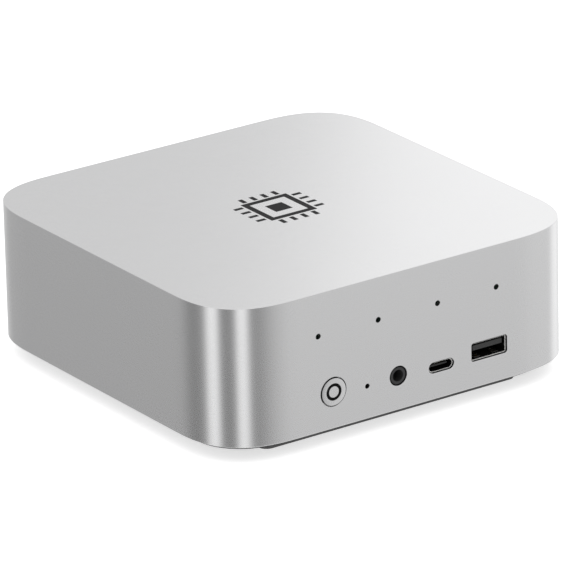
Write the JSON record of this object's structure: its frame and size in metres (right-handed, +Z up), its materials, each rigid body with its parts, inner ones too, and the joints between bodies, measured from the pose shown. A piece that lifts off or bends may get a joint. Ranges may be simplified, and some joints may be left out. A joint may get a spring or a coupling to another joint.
{
  "type": "mini pc",
  "caption": "Low square desktop computer: aluminium shell with soft corners, front power button and sockets, rear ports and vents, base cover on foot strips, cooled board inside.",
  "frame": {"origin": "centre of the square body in plan, on the plane the foot strips stand on", "axes": "+X to the right along the front, -Y out of the front with the power button, +Y out of the ports at the back, +Z up"},
  "size_m": [0.135, 0.1352, 0.0499],
  "materials": {
    "anodised_aluminium": "fine bead-blasted, silver anodised",
    "emblem_black": "smooth black inlay",
    "ring_black": "smooth black light guide, unlit",
    "frame_plastic": "fine moulded",
    "cover_plastic": "fine moulded texture",
    "foot_rubber": "matt",
    "seal_rubber": "soft",
    "black_screw": "black oxide",
    "steel_screw": "zinc plated",
    "filter_mesh": "fine woven mesh",
    "switch_plastic": "moulded",
    "plunger_plastic": "moulded",
    "board_green": "solder mask",
    "jack_plastic": "moulded",
    "gold_contact": "gold plated",
    "socket_steel": "nickel plated sheet",
    "tongue_black": "moulded",
    "tongue_pale": "moulded",
    "plated_pin": "plated",
    "processor_body": "substrate with a bare die",
    "chip_black": "moulded packages",
    "cell_steel": "satin can",
    "chamber_copper": "copper, lightly oxidised",
    "fin_aluminium": "thin sheet",
    "fan_plastic": "moulded",
    "rotor_plastic": "moulded, semi-gloss",
    "bearing_bronze": "sintered",
    "winding_copper": "enamelled wire on an iron core",
    "shaft_steel": "ground",
    "cable_black": "soft sleeve",
    "drive_board": "solder mask with moulded packages",
    "plate_aluminium": "stamped",
    "speaker_plastic": "moulded box"
  },
  "bodies": {
    "case": {"outer_shell": "anodised_aluminium", "top_emblem": "emblem_black", "inner_frame": "frame_plastic", "bottom_cover": "cover_plastic", "cover_screws": "black_screw", "front_foot_strip": "foot_rubber", "rear_foot_strip": "foot_rubber", "dust_filter": "filter_mesh", "button_guide": "frame_plastic", "power_switch": "switch_plastic", "reset_switch": "switch_plastic", "mic_board": "board_green", "mic_seals": "seal_rubber", "front_audio_jack": "jack_plastic", "audio_jack_contacts": "gold_contact", "front_usb_c_shell": "socket_steel", "front_usb_c_tongue": "tongue_black", "front_usb_a_shell": "socket_steel", "front_usb_a_tongue": "tongue_black", "dc_jack": "jack_plastic", "dc_jack_pin": "plated_pin", "rear_usb_stack_shell": "socket_steel", "rear_usb_stack_tongues": "tongue_pale", "lan_jack": "socket_steel", "lan_jack_contacts": "gold_contact", "hdmi_shell": "socket_steel", "hdmi_tongue": "tongue_black", "displayport_shell": "socket_steel", "displayport_tongue": "tongue_black", "rear_usb_c_shell": "socket_steel", "rear_usb_c_tongue": "tongue_black", "main_board": "board_green", "board_screws": "steel_screw", "processor": "processor_body", "memory_chips": "chip_black", "power_inductors": "chip_black", "coin_cell": "cell_steel", "vapor_chamber": "chamber_copper", "fin_stack": "fin_aluminium", "cooler_screws": "steel_screw", "fan_frame": "fan_plastic", "fan_bearing": "bearing_bronze", "fan_stator": "winding_copper", "fan_screws": "black_screw", "fan_lead": "cable_black", "ssd_sockets": "frame_plastic", "ssd_primary": "drive_board", "ssd_secondary": "drive_board", "ssd_screws": "steel_screw", "ssd_heat_plate": "plate_aluminium", "wifi_card": "board_green", "wifi_antennas": "gold_contact", "speaker_left": "speaker_plastic", "speaker_right": "speaker_plastic"},
    "power_button": {"power_button": "anodised_aluminium", "power_light_ring": "ring_black"},
    "power_plunger": {"power_switch_plunger": "plunger_plastic"},
    "reset_plunger": {"reset_switch_plunger": "plunger_plastic"},
    "fan_rotor": {"fan_rotor": "rotor_plastic", "fan_shaft": "shaft_steel"}
  },
  "joints": [
    {"name": "power_button_press", "type": "slide", "parent": "case", "child": "power_button", "axis": [0, 1, 0], "range_m": [0, 0.0004], "stiffness_N_per_m": 3500},
    {"name": "power_plunger_press", "type": "slide", "parent": "case", "child": "power_plunger", "axis": [0, 1, 0], "range_m": [0, 0.0004]},
    {"name": "reset_plunger_press", "type": "slide", "parent": "case", "child": "reset_plunger", "axis": [0, 1, 0], "range_m": [0, 0.00025], "stiffness_N_per_m": 6000},
    {"name": "fan_spin", "type": "hinge", "parent": "case", "child": "fan_rotor", "pos_m": [0, 0, 0.0352], "axis": [0, 0, 1], "continuous": true}
  ],
  "couplings": [
    {"joint": "power_plunger_press", "follows": "power_button_press", "ratio": 1}
  ]
}
